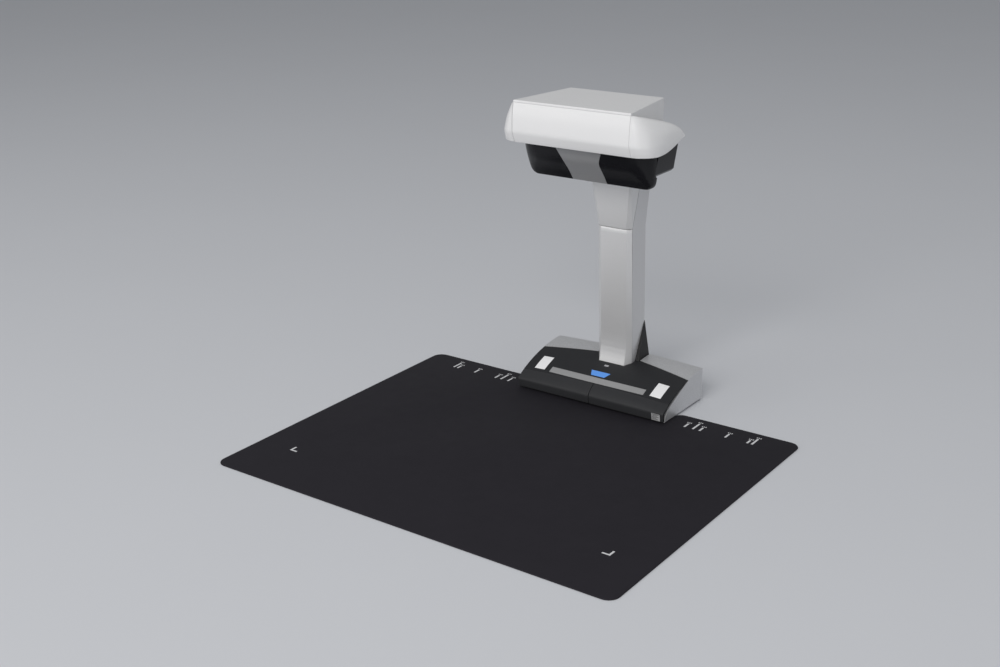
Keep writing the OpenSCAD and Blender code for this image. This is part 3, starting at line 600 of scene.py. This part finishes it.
def filled(name, columns, slot, replaces):
    """An inlay given by columns (x, y_front, y_rear), so that its top follows the slope."""
    rows = 9
    top, bottom = [], []
    for i, (x, y0, y1) in enumerate(columns):
        edge = i in (0, len(columns) - 1)
        line = []
        for k in range(rows + 1):
            y = mix(y0, y1, k / rows)
            lift = INLAY_PROUD - (INLAY_RIM if edge or k in (0, rows) else 0)
            line.append(Vector((x, y, slope(x, y) + lift)))
        top.append(line)
        bottom.append([Vector((p.x, p.y, slope(p.x, p.y) - INLAY_SINK)) for p in line])
    verts = [p for line in top for p in line] + [p for line in bottom for p in line]
    n, m = len(columns), rows + 1
    shift = n * m
    faces = []
    for i in range(n - 1):
        for k in range(m - 1):
            a = i * m + k
            faces.append((a, a + m, a + m + 1, a + 1))
            faces.append((a + shift, a + 1 + shift, a + m + 1 + shift, a + m + shift))
    rim = list(range(m)) + [i * m + m - 1 for i in range(1, n)]
    rim += [(n - 1) * m + k for k in range(m - 2, -1, -1)] + [i * m for i in range(n - 2, 0, -1)]
    for a, b in zip(rim, rim[1:] + rim[:1]):
        faces.append((a, b, b + shift, a + shift))
    return new_piece(name, verts, faces, STAND, slot, LOOKS[slot], replaces)


def columns_between(x0, x1, count, front, rear):
    """An inlay's columns, with one close to either end for its rim."""
    left, right = x0 + INLAY_BORDER, x1 - INLAY_BORDER
    xs = [x0, left] + [mix(left, right, k / count) for k in range(1, count)] + [right, x1]
    return [(x, front(x), rear(x)) for x in xs]


STRIP_HALF = high("accent_strip", 0)
STRIP_WIDTH = 8.6
STRIP_R = 1440
TILE_WIDTH = 15
STRIP_FRONT = low("accent_strip", 1)
TILE_X = (high("reference_tiles", 0) - TILE_WIDTH, high("reference_tiles", 0))
TILE_Y = (low("reference_tiles", 1), high("reference_tiles", 1))
LIGHT_Y = (low("status_light", 1), high("status_light", 1))
STATUS_X = (low("status_light", 0) + high("status_light", 0)) / 2
LIGHT_REAR_HALF = high("status_light", 0) - STATUS_X
ICON_HALF = high("power_indicator", 0) - STATUS_X
LIGHT_FRONT_HALF = 9.6


def bow(x):
    """How far the strip has fallen back at x."""
    return STRIP_R - math.sqrt(STRIP_R ** 2 - x ** 2)


def make_inlays():
    filled("accent_strip_inlay",
           columns_between(-STRIP_HALF, STRIP_HALF, 60, lambda x: STRIP_FRONT + bow(x),
                           lambda x: STRIP_FRONT + STRIP_WIDTH + bow(x)), "strip", ["accent_strip"])
    for side, label in ((-1, "left"), (1, "right")):
        x0, x1 = sorted((side * TILE_X[0], side * TILE_X[1]))
        filled(f"reference_tile_{label}",
               columns_between(x0, x1, 8, lambda x: TILE_Y[0], lambda x: TILE_Y[1]), "tile",
               ["reference_tiles"])

    def light_front(x):
        """The light's slanting ends: its front edge starts further back beyond the short side."""
        over = max(0.0, abs(x - STATUS_X) - LIGHT_FRONT_HALF) / (LIGHT_REAR_HALF - LIGHT_FRONT_HALF)
        return mix(LIGHT_Y[0], LIGHT_Y[1] - 0.05, over)

    filled("status_light_lens",
           columns_between(STATUS_X - LIGHT_REAR_HALF, STATUS_X + LIGHT_REAR_HALF, 26, light_front,
                           lambda x: LIGHT_Y[1]),
           "light", ["status_light"])
    y0, y1 = low("power_indicator", 1), high("power_indicator", 1)
    filled("power_indicator_lens",
           columns_between(STATUS_X - ICON_HALF, STATUS_X + ICON_HALF, 6, lambda x: y0, lambda x: y1),
           "indicator", ["power_indicator"])


KEY_CREASE = (-40.5, 15.0)
KEY_FOOT = (-38.8, 3.8)
KEY_BACK_Y = PANEL_FRONT - KEY_GAP
KEY_WALL = 2.4
KEY_EDGE_R = 0.7
# In (y, z): the middle that a key's rounded ends draw in to, and its inner wall.
KEY_CORE = (-36.4, 12.0)
KEY_INSIDE = [(KEY_CREASE[0] + KEY_WALL, 13.4), (-33.6, 16.0)]
KEY_BROW = (-36.0, 20.6)
KEY_BEND_Y = -30.0
KEY_REAR_DEPTH = 3.0


def key_section(x):
    """A key's closed outline in (y, z) at x: slope, rounded nose, front and inner wall."""
    back_z = slope(x, KEY_BACK_Y)
    corners = [(KEY_BACK_Y, back_z - KEY_REAR_DEPTH), (KEY_BACK_Y, back_z),
               (KEY_BEND_Y, slope(x, KEY_BEND_Y)),
               (KEY_BROW[0], min(slope(x, KEY_BROW[0]), KEY_BROW[1])),
               KEY_CREASE, KEY_FOOT, (KEY_FOOT[0] + KEY_WALL, KEY_FOOT[1])]
    outer = rounded(corners, [0, 0.5, 0.5, 6.0, 3.0, 0.7, 0], 6, False)
    return [Vector((x, y, z)) for y, z in outer + KEY_INSIDE]


def make_key(name, side, body, node):
    """One of the two long front keys; side is 1 for the right one."""
    sections = []
    for x in edge_steps(KEY_GAP, KEY_HALF, KEY_EDGE_R, 26):
        section = key_section(x)
        pull = fillet(x - KEY_GAP, KEY_EDGE_R) + fillet(KEY_HALF - x, KEY_EDGE_R)
        middle = Vector((x, *KEY_CORE))
        section = [p + (middle - p).normalized() * pull for p in section]
        sections.append(section if side > 0 else mirrored(section))
    return new_piece(name, *loft(sections), body, "charcoal", LOOKS["key"], [node], 40)


LABEL_X = (89.2, 100.6)
LABEL_Z = (4.6, 13.6)
LABEL_T = 0.06
DASH_T = 0.09
DASH_INDENT = 0.8
DASH_HALF = 0.35
# Each blank dash of the label: its place from top to bottom and its length, as shares.
LABEL_ROWS = [(0.12, 0.95), (0.30, 0.70), (0.48, 0.90), (0.66, 0.60), (0.84, 0.85)]


def key_face_y(z):
    """Where the lower front face of a key is at a height."""
    return mix(KEY_FOOT[0], KEY_CREASE[0], (z - KEY_FOOT[1]) / (KEY_CREASE[1] - KEY_FOOT[1]))


def on_key(x0, x1, z0, z1, lift):
    """A thin plate on the lower front face of the right key."""
    corners = ((x0, z0), (x1, z0), (x1, z1), (x0, z1))
    return loft([[Vector((x, key_face_y(z) - out, z)) for x, z in corners] for out in (0.0, lift)])


def make_label():
    """A plain patch with a few blank dashes, where the key carries a small printed label."""
    (x0, x1), (z0, z1) = LABEL_X, LABEL_Z
    new_piece("key_label", *on_key(x0, x1, z0, z1, LABEL_T), SCAN_KEY, "strip", LOOKS["label"])
    dashes = []
    for place, reach in LABEL_ROWS:
        z, start = mix(z1, z0, place), x0 + DASH_INDENT
        end = mix(start, x1 - DASH_INDENT, reach)
        dashes.append(on_key(start, end, z - DASH_HALF, z + DASH_HALF, DASH_T))
    new_piece("key_label_dashes", *joined(dashes), SCAN_KEY, "strip", LOOKS["groove"])


SHOULDER_LIP = 0.15
# A side cover is cut across at these places, then bent behind and above this line.
BEND_CUTS_X = range(-100, 101, 8)
BEND_CUTS_Y = range(26, 56, 6)
BEND_Y, BEND_Z = 19, 30


def crowned(bm):
    """Bends a side cover's flat shoulder to the crown of the slope in front of it."""
    for axis, places in (((1, 0, 0), BEND_CUTS_X), ((0, 1, 0), BEND_CUTS_Y)):
        for place in places:
            bmesh.ops.bisect_plane(bm, geom=list(bm.verts) + list(bm.edges) + list(bm.faces),
                                   plane_co=at(place, place, 0), plane_no=axis)
    for vert in bm.verts:
        x, y, z = vert.co.x / MM, (vert.co.y - DATUM_Y) / MM, vert.co.z / MM
        if y > BEND_Y and z > BEND_Z:
            share = min(1.0, (z - BEND_Z) / (SHOULDER_Z - BEND_Z))
            vert.co.z += share * (slope(x, y) + SHOULDER_LIP - SHOULDER_Z) * MM


def side_radius(a, b):
    """Edge radii of a side cover: soft along the front, the shoulders and the rear, crisp elsewhere."""
    behind_front, ahead_of_rear = max(a.y, b.y) > 20, min(a.y, b.y) < 55
    under_shoulder = min(a.z, b.z) < 37
    return 0.5 if behind_front and under_shoulder and ahead_of_rear else 0.9


def make_base():
    make_slope()
    make_inlays()
    make_key("scan_key_cap", 1, SCAN_KEY, "scan_key")
    make_key("stop_key_cap", -1, STOP_KEY, "stop_key")
    make_label()
    for side in ("left", "right"):
        softened(f"base_cover_{side}", f"side_cover_{side}", STAND, LOOKS["silver"],
                 0.9, 3, crowned, side_radius)
    softened("foot_cover", "rear_foot_cover", STAND, LOOKS["foot_black"], 0.8)


# ---------------------------------------------------------------- arm

ARM_SEAM_Y = 19.4
NECK_SEAM_Y = high("neck_cover", 1)
LEAN_FACE = 18.2
LEAN_Z = 76
ARM_REAR_EDGE_Y = 47
NECK_TOP_Z = ARM_SEAM_Z + 30
ARM_WALL = 2.4
SEAM_GAP = 0.45
# The flared foot: height and how far the face stands in front of its leaning line.
FLARE = [(76, 0.0), (68, 0.12), (60, 0.6), (53, 1.5), (47, 2.6), (42, 3.7), (38.5, 4.4), (35, 4.6)]


def arm_section(z):
    """Closed horizontal outline of the arm's front cover."""
    share = max(0.0, (ARM_SEAM_Z - z) / (ARM_SEAM_Z - LEAN_Z))
    face = mix(ARM_FRONT, LEAN_FACE, min(1.0, share))
    seam = mix(ARM_SEAM_Y, LEAN_SEAM, min(1.0, share)) - SEAM_GAP
    for (z0, a), (z1, b) in zip(FLARE, FLARE[1:]):
        if z1 <= z < z0:
            face -= mix(a, b, (z0 - z) / (z0 - z1))
    corners = [(ARM_HALF, seam, z), (ARM_FACE_HALF, face, z), (-ARM_FACE_HALF, face, z), (-ARM_HALF, seam, z),
               (-ARM_HALF + ARM_WALL, seam, z), (-ARM_FACE_HALF + 1, face + ARM_WALL, z),
               (ARM_FACE_HALF - 1, face + ARM_WALL, z), (ARM_HALF - ARM_WALL, seam, z)]
    return rounded(corners, [0.5, 0.7, 0.7, 0.5, 0.3, 0.3, 0.3, 0.3], 4)


def shell_radius(a, b):
    """Edge radii of the arm's shell: generous at the rear, crisp at the seams."""
    return 3.0 if min(a.y, b.y) > ARM_REAR_EDGE_Y else 0.35


def cover_radius(a, b):
    """Edge radii of the neck's cover: its chamfers are soft, its seams crisp."""
    return 0.5 if abs(a.z - b.z) > 20 and max(a.y, b.y) < 18 else 0.3


def parted(bm):
    """Draws the neck's cover back from the arm and the shell, which leaves their seams open."""
    for vert in bm.verts:
        y, z = (vert.co.y - DATUM_Y) / MM, vert.co.z / MM
        if z < ARM_SEAM_Z + 1:
            vert.co.z += SEAM_GAP * MM
        if y > (NECK_SEAM_Y if z > NECK_TOP_Z else ARM_SEAM_Y) - 0.1:
            vert.co.y -= SEAM_GAP * MM


# The arm cover's top edge is rounded in steps: drop from the top and inset.
ARM_RIM = [(0.0, 0.4), (0.12, 0.12), (0.4, 0.0)]


def make_arm():
    stops = [ARM_SEAM_Z - drop for drop, _ in ARM_RIM] + [ARM_SEAM_Z - 6 * k for k in range(1, 24)]
    stops += [LEAN_Z - 1 - 1.5 * k for k in range(26)]
    sections = [arm_section(z) for z in stops]
    for section, (_, inset) in zip(sections, ARM_RIM):
        for p in section:
            p.x -= math.copysign(min(inset, abs(p.x)), p.x)
            p.y += inset if p.y < ARM_SEAM_Y - 1 else 0
    new_piece("arm_front", *loft(sections), STAND, "arm_silver", LOOKS["arm_silver"],
              ["arm_front_cover"], 40)
    # The shell takes the darker copy of the arm's silver, painted shade on its side.
    softened("arm_shell", "arm_back", STAND, LOOKS["arm_side"], 3.0, 4, None, shell_radius)
    softened("neck_cover", "neck_front", STAND, LOOKS["arm_silver"],
             0.5, 3, parted, cover_radius)


# ---------------------------------------------------------------- head

SEAM_X = 78.0
SEAM_R = 0.45
FACE_TOP_Z = high("front_cover", 2)
FACE_BULGE = 1.0
# In (y, z): the middle that the front skin's rounded ends draw in to.
FACE_CORE = Vector((-80.0, 350.0))
WING_STEPS = 49

# Each station of the right wing: W on the block's side wall, R on the ridge, C on the crease,
# B on the lower edge and I inside, over the dark housing.
WING = [
    ((78.4, -79.4, 377.4), (78.4, -81.6, 377.1), (78.4, -85.0, 343.0),
     (78.4, -79.5, 330.0), (78.4, -68.0, 331.0)),
    ((77.5, -74.0, 376.1), (82.6, -77.4, 376.8), (86.8, -83.4, 342.9),
     (86.4, -78.4, 330.1), (83.0, -66.0, 331.0)),
    ((76.3, -66.0, 374.0), (86.2, -71.2, 375.2), (93.6, -78.4, 342.3),
     (92.4, -75.2, 330.2), (87.0, -62.0, 331.0)),
    ((74.5, -54.0, 371.0), (89.6, -61.6, 372.6), (99.0, -70.3, 341.6),
     (97.8, -69.4, 330.0), (88.4, -56.0, 331.0)),
    ((72.4, -40.0, 367.4), (93.4, -48.0, 368.7), (102.2, -57.0, 341.2),
     (101.6, -58.8, 329.8), (88.0, -44.0, 331.6)),
    ((70.1, -25.0, 363.6), (97.0, -34.0, 364.4), (103.6, -41.0, 341.4),
     (103.2, -43.6, 331.6), (82.0, -26.0, 334.6)),
    ((67.8, -10.0, 359.8), (100.0, -22.0, 359.6), (104.1, -26.6, 342.2),
     (103.9, -28.6, 335.8), (75.0, -9.0, 337.4)),
    ((65.7, 4.0, 356.2), (102.3, -12.4, 353.6), (104.4, -14.6, 343.6),
     (104.3, -15.6, 340.4), (69.6, 4.0, 338.2)),
    ((63.9, 15.5, 353.2), (104.2, -6.0, 346.0), (104.7, -6.2, 344.8),
     (104.6, -6.4, 343.8), (66.0, 14.6, 338.4)),
]


def wing_sections():
    """Closed sections of the right wing from the front seam round to the tip."""
    lines = [spline([station[k] for station in WING], WING_STEPS) for k in range(5)]
    sections = []
    for i in range(WING_STEPS):
        wall, ridge, crease, foot, inside = (line[i] for line in lines)
        share = i / (WING_STEPS - 1)
        size = (crease - ridge).length
        out = Vector((share * 1.6, share - 1.0, 0.15)).normalized()
        bulge = (FACE_BULGE + 1.6 * math.sin(math.pi * share)) * min(1, size / 25)
        swell = ridge.lerp(crease, 0.45) + out * bulge
        curve = spline([ridge, swell, crease], 9)
        soft = 0.6 + 5.4 * math.sin(math.pi * min(1.0, share * 1.05)) ** 0.7
        outer = rounded([wall, ridge, curve[2]], [0, soft, 0], 6, False)
        outer += curve[3:7]
        outer += rounded([curve[6], crease, foot], [0, 3.2 * (1 - 0.5 * share), 0], 5, False)[1:-1]
        outer += rounded([crease, foot, inside], [0, 1.2, 0], 4, False)[1:-1]
        outer.append(inside)
        sections.append(outer)
    return sections


def make_wings():
    right = wing_sections()
    left = [mirrored(section) for section in right]
    new_piece("wing_right_shell", *loft(right), STAND, "white", LOOKS["white"], ["wing_right"], 50)
    new_piece("wing_left_shell", *loft(left), STAND, "white", LOOKS["white"], ["wing_left"], 50)


def make_face():
    """The white front skin: its outer profile is the wing's section at the seam."""
    profile = wing_sections()[0]
    outer = [(TOP_FRONT, FACE_TOP_Z)] + [(p.y, p.z) for p in profile[8:-1]]
    inner = [(-68.0, 330.1), (-68.0, 332.2), (-78.0, 332.4), (-82.4, 342.6), (-81.6, 358.0),
             (-79.2, FACE_TOP_Z)]
    outline = outer + inner
    sections = []
    for x in edge_steps(-SEAM_X, SEAM_X, SEAM_R, 12):
        pull = fillet(x + SEAM_X, SEAM_R) + fillet(SEAM_X - x, SEAM_R)
        section = []
        for y, z in outline:
            toward = (FACE_CORE - Vector((y, z))).normalized() * pull
            section.append(Vector((x, y + toward.x, z + toward.y)))
        sections.append(section)
    new_piece("head_front", *loft(sections), STAND, "white", LOOKS["white"], ["front_cover"], 40)


# Stations of the dark lens housing's front: height, half width, front face and corner radius.
HOUSING = [
    (330.0, 87.7, -67.0, 30.6), (320.0, 86.9, -63.4, 27.0), (311.6, 86.0, -59.6, 23.5),
    (302.0, 84.9, -51.8, 15.5), (294.0, 83.9, -45.4, 9.6), (289.5, 82.6, -42.4, 7.4),
    (286.4, 80.0, -40.2, 5.6), (284.7, 76.5, -39.0, 4.6),
]
VISOR_ROWS = [328.8, 325, 321, 317, 313, 309, 305, 302, 299.2, 298.7, 296, 294, 292, 290.5, 289, 287.6,
              286.5, 285.5, 284.8]
VISOR_BACK = -36.2
VISOR_LOW_BACK = high("visor_right", 1)
STEP_Z = 299
# Edge of the trim between the visors: height and half width.
NOSE_EDGE = [(329.0, 30.8), (326.0, 30.4), (318.0, 26.6), (311.6, 24.3), (300.0, 23.6), (284.6, 23.2)]
VISOR_T = 1.3
VISOR_GAP = 0.15
PLAN_STEPS = 16
CURVE_STEPS = 150


def nose_half(z):
    """Half width of the trim between the visors at a height."""
    for (z0, a), (z1, b) in zip(NOSE_EDGE, NOSE_EDGE[1:]):
        if z >= z1:
            return mix(a, b, min(1.0, max(0.0, (z0 - z) / (z0 - z1))))
    return NOSE_EDGE[-1][1]


def housing_at(z):
    """Half width, front face and corner radius of the housing at a height."""
    for a, b in zip(HOUSING_CURVE, HOUSING_CURVE[1:]):
        if b[0] <= z <= a[0]:
            t = (a[0] - z) / (a[0] - b[0])
            return [mix(p, q, t) for p, q in zip(a[1:], b[1:])]
    return HOUSING_CURVE[-1][1:]


HOUSING_CURVE = [(*p, q.x) for p, q in zip(spline([h[:3] for h in HOUSING], CURVE_STEPS),
                                           spline([(h[3], 0, 0) for h in HOUSING], CURVE_STEPS))]


def plan_path(half, front, radius, z, back):
    """Right half of the housing's plan from the middle of its front round the corner to the back."""
    path = [Vector((0, front, z)), Vector((half - radius, front, z))]
    for k in range(1, PLAN_STEPS + 1):
        a = math.radians(-90 + 90 * k / PLAN_STEPS)
        path.append(Vector((half - radius + radius * math.cos(a),
                            front + radius + radius * math.sin(a), z)))
    path.append(Vector((half, max(back, front + radius) + 1.0, z)))
    for k, (p, q) in enumerate(zip(path, path[1:])):
        if q.y > back:
            return path[:k + 1] + [p.lerp(q, (back - p.y) / (q.y - p.y))]
    return path


def along(path, start_x, count):
    """count points spread evenly along a path, from where it passes start_x to its end."""
    first = Vector((start_x, path[0].y, path[0].z))
    line = [first] + path[1:]
    reach = [0.0]
    for a, b in zip(line, line[1:]):
        reach.append(reach[-1] + (b - a).length)
    out, i = [], 0
    for k in range(count):
        want = reach[-1] * k / (count - 1)
        while i < len(reach) - 2 and reach[i + 1] < want:
            i += 1
        out.append(line[i].lerp(line[i + 1], (want - reach[i]) / (reach[i + 1] - reach[i])))
    return out


def make_visors():
    right, nose = [], []
    for z in VISOR_ROWS:
        half, front, radius = housing_at(z)
        path = plan_path(half, front, radius, z, VISOR_BACK if z > STEP_Z else VISOR_LOW_BACK)
        edge = nose_half(z)
        right.append(along(path, edge + VISOR_GAP, 40))
        nose.append([Vector((mix(-edge, edge, k / 10), front, z)) for k in range(11)])
    verts, faces = thick_patch(right, -VISOR_T)
    nose_verts, nose_faces = thick_patch(nose, -VISOR_T)
    for name, points, sides, slot, node in (
            ("visor_right_lens", verts, faces, "gloss_black", "visor_right"),
            ("visor_left_lens", mirrored(verts), faces, "gloss_black", "visor_left"),
            ("nose_plate", nose_verts, nose_faces, "nose", "nose_trim")):
        bevelled(new_piece(name, points, sides, STAND, slot, LOOKS[slot], [node], 60), 0.2, 2, 50)


# Profile in (y, z) of the sill between the head's rear wall and the back of the housing.
SILL = [(7.2, 338.2), (16.9, 338.2), (16.9, 346.9), (14.6, 346.9), (14.6, 340.4), (7.2, 340.4)]
SILL_X = (37.4, 64.4)


def make_sills():
    """Closes the head below its rear wall, on both sides of the hood."""
    for side, label in ((-1, "left"), (1, "right")):
        sections = [[Vector((side * x, y, z)) for y, z in SILL] for x in SILL_X]
        bevelled(new_piece(f"head_sill_{label}", *loft(sections), STAND, "white", LOOKS["white"]), 0.4, 2)


LID_R = 1.1


def lid_radius(a, b):
    """Edge radii of the flat top: only its upper rim is rounded."""
    return LID_R if min(a.z, b.z) > TOP_Z - 0.1 else 0.15


def make_head():
    softened("top_cover", "head_top", STAND, LOOKS["white"], LID_R, 4, None, lid_radius)
    make_face()
    make_wings()
    make_sills()
    softened("rear_hood", "head_rear_hood", STAND, LOOKS["arm_silver"], 2.0, 4)
    softened("lower_housing", "optics_housing", STAND, LOOKS["gloss_black"], 1.6, 4)
    make_visors()


# ---------------------------------------------------------------- camera, floor and light

# The camera's place is in millimetres from the datum, its angles are in degrees.
CAMERA = (842.08, -1378.38, 684.93)
AZIMUTH = 37.24
ELEVATION = 20.03
ROLL = 1.31
LENS = 50.02
SENSOR = 36
SHIFT = (0.02705, -0.00862)
FLOOR_HALF = 30.0
SKY = (0.95, 0.97, 1.0, 1.0)
SKY_STRENGTH = 0.30
WARM = (1.0, 0.985, 0.965)
PLAIN = (1.0, 1.0, 1.0)
# Lamps, in metres and watts: place, aim, size, power and colour.
LAMPS = {
    "front": ((0.8, -3.75, 2.6), (0.0, 0.0, 0.25), (3.0, 2.0), 106, WARM),
    "left_card": ((-2.3, -2.9, 0.9), (0.0, 0.0, 0.2), (2.0, 1.2), 15, WARM),
    "overhead": ((0.1, -0.4, 2.8), (0.1, -0.2, 0.0), (3.0, 3.0), 12, PLAIN),
    "right_fill": ((2.5, -0.6, 0.8), (0.0, 0.0, 0.2), (2.0, 1.4), 3, PLAIN),
}


def make_camera():
    a, e, r = (math.radians(v) for v in (AZIMUTH, ELEVATION, ROLL))
    ahead = Vector((-math.sin(a) * math.cos(e), math.cos(a) * math.cos(e), -math.sin(e)))
    right = ahead.cross(Vector((0, 0, 1))).normalized()
    down = ahead.cross(right)
    level_right = right * math.cos(r) + down * math.sin(r)
    level_down = down * math.cos(r) - right * math.sin(r)
    data = bpy.data.cameras.new("view")
    data.lens = LENS
    data.sensor_width = SENSOR
    data.shift_x, data.shift_y = SHIFT
    data.clip_end = 100
    camera = bpy.data.objects.new("view", data)
    turn = Matrix((level_right, -level_down, -ahead)).transposed().to_4x4()
    camera.matrix_world = Matrix.Translation(at(*CAMERA)) @ turn
    bpy.context.scene.collection.objects.link(camera)
    bpy.context.scene.camera = camera


def make_floor():
    mesh = bpy.data.meshes.new("floor")
    corners = [(x * FLOOR_HALF, y * FLOOR_HALF, 0) for x, y in ((-1, -1), (1, -1), (1, 1), (-1, 1))]
    mesh.from_pydata(corners, [], [(0, 1, 2, 3)])
    floor = bpy.data.objects.new("floor", mesh)
    look = Look("floor", (0.69, 0.705, 0.74), 0.75)
    look.tinted(look.noise(3.0, 3.0), 0.01)
    mesh.materials.append(look.material)
    bpy.context.scene.collection.objects.link(floor)


def area_light(name, place, aim, size, power, color):
    data = bpy.data.lights.new(name, "AREA")
    data.shape = "RECTANGLE"
    data.size, data.size_y = size
    data.energy = power
    data.color = color
    light = bpy.data.objects.new(name, data)
    light.location = place
    light.rotation_euler = (Vector(aim) - Vector(place)).to_track_quat("-Z", "Y").to_euler()
    bpy.context.scene.collection.objects.link(light)


def make_light():
    world = bpy.data.worlds.new("studio")
    world.use_nodes = True
    world.node_tree.nodes["Background"].inputs["Color"].default_value = SKY
    world.node_tree.nodes["Background"].inputs["Strength"].default_value = SKY_STRENGTH
    bpy.context.scene.world = world
    for name, lamp in LAMPS.items():
        area_light(name, *lamp)
    bpy.context.scene.view_settings.view_transform = "Standard"


make_camera()
make_floor()
make_light()
make_mat()
make_marks()
make_base()
make_arm()
make_head()
